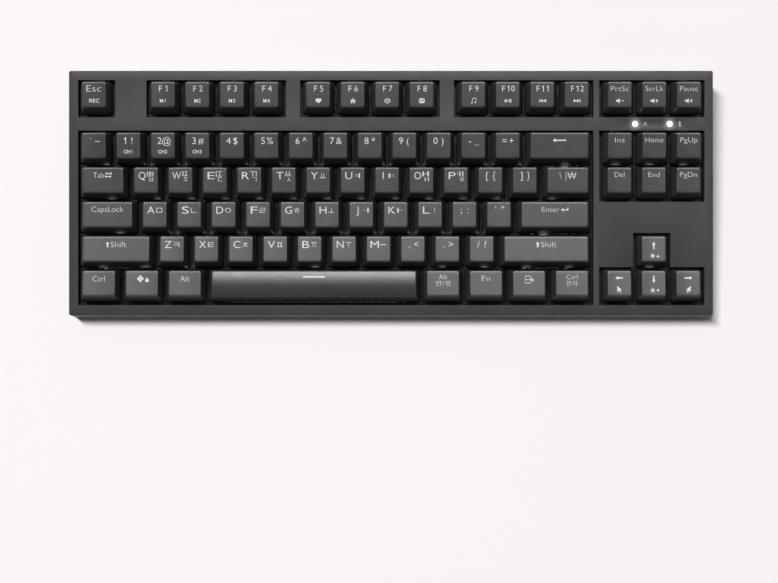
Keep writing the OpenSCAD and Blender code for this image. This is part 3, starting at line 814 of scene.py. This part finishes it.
def sign_curve(outlines):
    """Outlines as a filled flat curve."""
    curve = bpy.data.curves.new("sign", "CURVE")
    curve.dimensions = "2D"
    curve.fill_mode = "BOTH"
    for outline in outlines:
        spline = curve.splines.new("POLY")
        spline.points.add(len(outline) - 1)
        for point, (x, y) in zip(spline.points, outline):
            point.co = (x, y, 0, 1)
        spline.use_cyclic_u = True
    return curve


# Where the Hangul characters begin, and the font's capital height in curve units
HANGUL_START = 0x3000
CAPITAL_H = 0.69

# How much strokes are thickened, in curve units. Legends lower than the limit, in mm, are small.
HANGUL_WEIGHT = -0.012
LATIN_WEIGHT = -0.008
WORD_WEIGHT = -0.017
SMALL_WEIGHT = 0.008
SMALL_LIMIT = 2.1


def is_sign(text):
    """True for a text that names a drawn sign."""
    return len(text) > 1 and text.startswith("<")


def stroke_weight(text, height):
    """How much a legend's strokes are thickened."""
    if height < SMALL_LIMIT:
        return SMALL_WEIGHT
    if ord(text[0]) > HANGUL_START:
        return HANGUL_WEIGHT
    return WORD_WEIGHT if len(text) > 1 else LATIN_WEIGHT


def flat_legend(text, weight):
    """A legend as a thin prism: vertices in curve units, with z -1 or 1 for back or front, and faces."""
    if is_sign(text):
        curve = sign_curve(SIGNS[text[1:-1]])
    else:
        curve = bpy.data.curves.new("legend", "FONT")
        curve.body = text
        curve.resolution_u = 3
        curve.offset = weight
    curve.extrude = 0.01
    item = bpy.data.objects.new("legend", curve)
    bpy.context.scene.collection.objects.link(item)
    bpy.context.view_layer.update()
    made = item.evaluated_get(bpy.context.evaluated_depsgraph_get()).to_mesh()
    points = [(v.co.x, v.co.y, 1 if v.co.z > 0 else -1) for v in made.vertices]
    faces = [tuple(p.vertices) for p in made.polygons]
    item.to_mesh_clear()
    bpy.data.objects.remove(item)
    bpy.data.curves.remove(curve)
    return points, faces


FLAT = {}


def fitted_legend(text, height, width):
    """A legend scaled to its height and width in mm and centred, Latin text by its capitals."""
    weight = stroke_weight(text, height)
    if (text, weight) not in FLAT:
        FLAT[text, weight] = flat_legend(text, weight)
    points, faces = FLAT[text, weight]
    xs = [p[0] for p in points]
    ys = [p[1] for p in points]
    own_height = is_sign(text) or ord(text[0]) > HANGUL_START
    cap_low, cap_high = (min(ys), max(ys)) if own_height else (0.0, CAPITAL_H)
    sy = height * MM / (cap_high - cap_low)
    sx = width * MM / (max(xs) - min(xs)) if width else sy
    mid_x, mid_y = (min(xs) + max(xs)) / 2, (cap_low + cap_high) / 2
    return [((x - mid_x) * sx, (y - mid_y) * sy, z) for x, y, z in points], faces


def build_legends(body, keys):
    """The white legends of one body, laid into the tops."""
    bm = bmesh.new()
    for key in keys:
        shape = CapShape(key)
        place = shape.place(key, CAP_Z)
        for text, height, width, x0, y0 in key[3]:
            points, faces = fitted_legend(text, height, width)
            verts = []
            for x, y, z in points:
                px, py = x + x0 * MM, y + shape.y_high - y0 * MM
                lift = LEGEND_RAISE if z > 0 else -LEGEND_DEPTH
                verts.append(bm.verts.new(place @ Vector((px, py, shape.top(px, py) + lift))))
            for face in faces:
                bm.faces.new([verts[i] for i in face])
    bmesh.ops.remove_doubles(bm, verts=bm.verts, dist=2 * WELD)
    bmesh.ops.dissolve_degenerate(bm, edges=bm.edges, dist=WELD)
    legends = new_object(body + "_legends", mesh_of(bm, body + "_legends", LEGEND_CREASE), "legend", body)


# ---------------------------------------------------------------------------
# Switch springs

SPRING_LOW = PLATE_Z - 3.9 * MM
SPRING_HIGH = PLATE_Z + 1.3 * MM
SPRING_WIRE = 0.22 * MM
SPRING_R = 1.9 * MM
SPRING_TURNS = 6
SPRING_STEPS = 12
SPRING_SIDES = 6


def spring_rings(place):
    """Rings round one coil's wire, from its low end up."""
    count = SPRING_TURNS * SPRING_STEPS
    rings = []
    for k in range(count + 1):
        a = 2 * math.pi * k / SPRING_STEPS
        rise = (SPRING_HIGH - SPRING_LOW - 2 * SPRING_WIRE) * k / count
        ring = []
        for n in range(SPRING_SIDES):
            t = 2 * math.pi * n / SPRING_SIDES
            r = SPRING_R + SPRING_WIRE * math.cos(t)
            z = SPRING_LOW + SPRING_WIRE + rise + SPRING_WIRE * math.sin(t)
            ring.append(place @ Vector((r * math.cos(a), r * math.sin(a), z)))
        rings.append(ring)
    return rings


def build_springs(body, keys):
    """Coil springs of one body's switches."""
    bm = bmesh.new()
    for key in keys:
        loft(bm, spring_rings(DECK @ Matrix.Translation((key_x(key), ROW_Y[key[0]], 0))))
    springs = new_object(body + "_springs", mesh_of(bm, body + "_springs"), "spring_steel", "case")
    normal = (DECK.to_3x3() @ Vector((0, 0, 1)))[:]
    anchor = (DECK @ Vector((0, 0, SPRING_LOW)))[:]
    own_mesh(springs)
    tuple(normal)
    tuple(anchor)
    return springs


# ---------------------------------------------------------------------------
# Case parts: the CAD shapes with rounded edges

# Edges that turn by more than the first are rounded, and faces that turn by less than the second are merged
SHARP_ANGLE = math.radians(30)
FLAT_ANGLE = math.radians(0.5)


def rounded_copy(node, slot, body, rounds, steps=3):
    """A copy of a CAD node with rounded edges, which replaces it. Rounds are (width, test for the edges)."""
    bm = bmesh.new()
    bm.from_mesh(frame["nodes"][node].data)
    bmesh.ops.remove_doubles(bm, verts=bm.verts, dist=WELD)
    bmesh.ops.dissolve_limit(bm, angle_limit=FLAT_ANGLE, verts=bm.verts, edges=bm.edges)
    for width, test in rounds:
        sharp = [e for e in bm.edges if len(e.link_faces) == 2 and e.calc_face_angle(0) > SHARP_ANGLE]
        chosen = [e for e in sharp if test is None or test(e)]
        bmesh.ops.bevel(bm, geom=chosen, offset=width, segments=steps, profile=0.5, affect="EDGES",
                        clamp_overlap=True)
    bmesh.ops.triangulate(bm, faces=[f for f in bm.faces if len(f.verts) > 4])
    item = new_object(node + "_shape", mesh_of(bm, node + "_shape"), slot, body)
    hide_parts(node)


def on_deck(edge):
    """True for an edge of the deck's face."""
    flat = DECK.inverted()
    return all(abs((flat @ v.co).z) < NEAR for v in edge.verts)


# How far in from its box the case's outline reaches
OUTLINE_BAND = 1.1 * MM


def on_outline(height):
    """A test for edges of the case's outline at a height."""
    side, back = frame_high.x - OUTLINE_BAND, frame_high.y - OUTLINE_BAND

    def test(edge):
        level = all(abs(v.co.z - height) < NEAR for v in edge.verts)
        return level and all(abs(v.co.x) > side or abs(v.co.y) > back for v in edge.verts)

    return test


# A rubber foot's ribs: their number, half width as a share of their pitch, and size on the pad
RIB_COUNT = 9
RIB_SHARE = 0.36
RIB_H = 0.5 * MM
RIB_ROOT = 0.2 * MM
RIB_END_GAP = 0.3 * MM
PAD_EDGE = 0.25 * MM


def build_rubber_feet():
    """The four rubber feet, each a rounded pad with ribs across its sole."""
    bm = bmesh.new()
    for low, high in loose_boxes(frame["nodes"]["rubber_feet"].data):
        add_box(bm, (low.x, low.y, low.z + RIB_H), high, PAD_EDGE)
        pitch = (high.x - low.x) / RIB_COUNT
        for i in range(RIB_COUNT):
            x = low.x + pitch * (i + 0.5)
            rib_low = (x - RIB_SHARE * pitch, low.y + RIB_END_GAP, low.z)
            rib_high = (x + RIB_SHARE * pitch, high.y - RIB_END_GAP, low.z + RIB_H + RIB_ROOT)
            add_box(bm, rib_low, rib_high, SOFT_EDGE)
    feet = new_object("rubber_feet_shape", mesh_of(bm, "rubber_feet_shape"), "foot_rubber", "case")
    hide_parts("rubber_feet")


def loose_boxes(mesh):
    """Bounds of each separate shell of a mesh."""
    bm = bmesh.new()
    bm.from_mesh(mesh)
    bmesh.ops.remove_doubles(bm, verts=bm.verts, dist=WELD)
    seen = set()
    boxes = []
    for start in bm.verts:
        if start in seen:
            continue
        shell, queue = [], [start]
        seen.add(start)
        while queue:
            vert = queue.pop()
            shell.append(vert.co.copy())
            for edge in vert.link_edges:
                other = edge.other_vert(vert)
                if other not in seen:
                    seen.add(other)
                    queue.append(other)
        boxes.append(span(shell))
    bm.free()
    return boxes


# The power switch's knob, with depths measured from its back face
KNOB_FACE = 1 * MM
KNOB_TAB = 3.8 * MM
KNOB_DEPTH = 4 * MM
RIDGE_COUNT = 3
RIDGE_H = 0.35 * MM
RIDGE_HALF = 0.4 * MM
RIDGE_GAP = 0.1 * MM


def build_knob():
    """The power switch's knob, with grip ridges and the tab inside the case."""
    flat = DECK.inverted()
    points = [flat @ v.co for v in frame["nodes"]["power_switch_knob"].data.vertices]
    back = max(p.y for p in points)
    low, high = span([p for p in points if p.y > back - KNOB_FACE])
    bm = bmesh.new()
    add_box(bm, (low.x, back - KNOB_DEPTH, low.z), (high.x, back - RIDGE_H, high.z), SOFT_EDGE, DECK)
    for i in range(RIDGE_COUNT):
        x = low.x + (high.x - low.x) * (i + 0.5) / RIDGE_COUNT
        ridge_low = (x - RIDGE_HALF, back - KNOB_FACE, low.z + RIDGE_GAP)
        ridge_high = (x + RIDGE_HALF, back, high.z - RIDGE_GAP)
        add_box(bm, ridge_low, ridge_high, SOFT_EDGE, DECK)
    add_box(bm, *span([p for p in points if p.y < back - KNOB_TAB]), SOFT_EDGE, DECK)
    mesh = mesh_of(bm, "power_switch_knob_shape")
    knob = new_object("power_switch_knob_shape", mesh, "knob_plastic", "power_switch_knob")
    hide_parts("power_switch_knob")


# Each mark's text, height and width in mm, and how far it stands from its light
MARKS = (("A", 2.7, 2.4), ("<lock_mark>", 2.8, 2.0))
MARK_SHIFT = 5.6 * MM


def build_marks():
    """The faint marks printed beside the two status lights."""
    bm = bmesh.new()
    for (x, y), (text, height, width) in zip(LIGHTS, MARKS):
        points, faces = fitted_legend(text, height, width)
        place = DECK @ Matrix.Translation((x + MARK_SHIFT, y, 0))
        verts = [bm.verts.new(place @ Vector((px, py, LEGEND_RAISE if pz > 0 else -LEGEND_DEPTH)))
                 for px, py, pz in points]
        for face in faces:
            bm.faces.new([verts[i] for i in face])
    marks = new_object("status_marks", mesh_of(bm, "status_marks"), "mark", "case")


# ---------------------------------------------------------------------------
# Build

for body, keys in KEYS.items():
    build_caps(body, keys)
    build_stems(body, keys)
    build_legends(body, keys)
springs = [build_springs(body, keys) for body, keys in KEYS.items()]
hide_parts("switch_springs")

DECK_EDGE = 0.45 * MM
PARTING_EDGE = 0.2 * MM
SOLE_EDGE = 0.9 * MM
FOOT_EDGE = 0.35 * MM
# The case's smaller parts: node, slot, width of the rounded edges and steps round them
SMALL_PARTS = (
    ("switch_upper_housings", "switch_cover", SOFT_EDGE, 1),
    ("stabilizer_housings", "stabilizer_plastic", SOFT_EDGE, 1),
    ("battery_pack", "battery_wrap", 1.2 * MM, 3),
    ("case_screws", "screw_steel", 0.15 * MM, 1),
    ("usb_socket", "socket_metal", 0.08 * MM, 1),
)

sole_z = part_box("bottom_case")[0].z
parting = (PARTING_EDGE, on_outline(PARTING_H))
rounded_copy("top_frame", "case_shell", "case", [(DECK_EDGE, on_deck), parting])
rounded_copy("bottom_case", "case_base", "case", [(SOLE_EDGE, on_outline(sole_z)), parting])
for node, slot, width, steps in SMALL_PARTS:
    rounded_copy(node, slot, "case", [(width, None)], steps)
for side in ("left", "right"):
    foot = side + "_flip_foot"
    rounded_copy(foot, "flip_foot_plastic", foot, [(FOOT_EDGE, None)])

build_rubber_feet()
build_knob()
build_marks()

# Each CAD node gets its slot's material, which shows on those that nothing replaces
for part in frame["record"]["subparts"]:
    mesh = frame["nodes"][part["node"]].data
    mesh.materials.clear()
    mesh.materials.append(material(part["material_slot"]))

# ---------------------------------------------------------------------------
# Stage, lights and camera

FLOOR_LOW = (0.80, 0.765, 0.79)
FLOOR_HIGH = (0.81, 0.775, 0.80)
FLOOR_SIZE = 8
WORLD_COLOR = (1.0, 0.985, 1.0, 1)
WORLD_STRENGTH = 0.12

paint = Shader("floor")
paint.link(paint.ramp(paint.noise(3), FLOOR_LOW, FLOOR_HIGH), paint.bsdf.inputs["Base Color"])
paint.set(Roughness=0.9, Specular_IOR_Level=0.1)
bpy.ops.mesh.primitive_plane_add(size=FLOOR_SIZE, location=(0, 0, 0))
floor = bpy.context.object
floor.name = "floor"
floor.data.materials.append(paint.material)

world = bpy.data.worlds.new("studio")
bpy.context.scene.world = world
world.use_nodes = True
background = world.node_tree.nodes["Background"]
background.inputs["Color"].default_value = WORLD_COLOR
background.inputs["Strength"].default_value = WORLD_STRENGTH


def softbox(name, place, width, height, power):
    """A rectangular light of some watts, aimed at the origin."""
    light = bpy.data.lights.new(name, "AREA")
    light.shape = "RECTANGLE"
    light.size, light.size_y = width, height
    light.energy = power
    item = bpy.data.objects.new(name, light)
    bpy.context.scene.collection.objects.link(item)
    item.location = place
    item.rotation_euler = (-Vector(place)).to_track_quat("-Z", "Y").to_euler()
    return item


# The first lights the scene and casts its shadow. The second only shows as sheen on glossy faces.
softbox("top_softbox", (-1.71, 1.2, 7), 0.75, 2.5, 596).visible_glossy = False
softbox("back_softbox", (0.04, 0.925, 1.545), 1.8, 1.04, 96).visible_diffuse = False

# The camera looks straight down on the deck, at this point of it, from this distance
AIM_X = -1.07 * MM
AIM_Y = -54.9 * MM
DISTANCE = 0.95
SENSOR = 36
LENS = 78.8402

camera_data = bpy.data.cameras.new("camera")
camera_data.sensor_width = SENSOR
camera_data.lens = LENS
camera_data.clip_start = 10 * MM
camera = bpy.data.objects.new("camera", camera_data)
bpy.context.scene.collection.objects.link(camera)
camera.matrix_world = DECK @ Matrix.Translation((AIM_X, AIM_Y, DISTANCE))
bpy.context.scene.camera = camera
bpy.context.scene.view_settings.view_transform = "Standard"

bpy.context.view_layer.update()
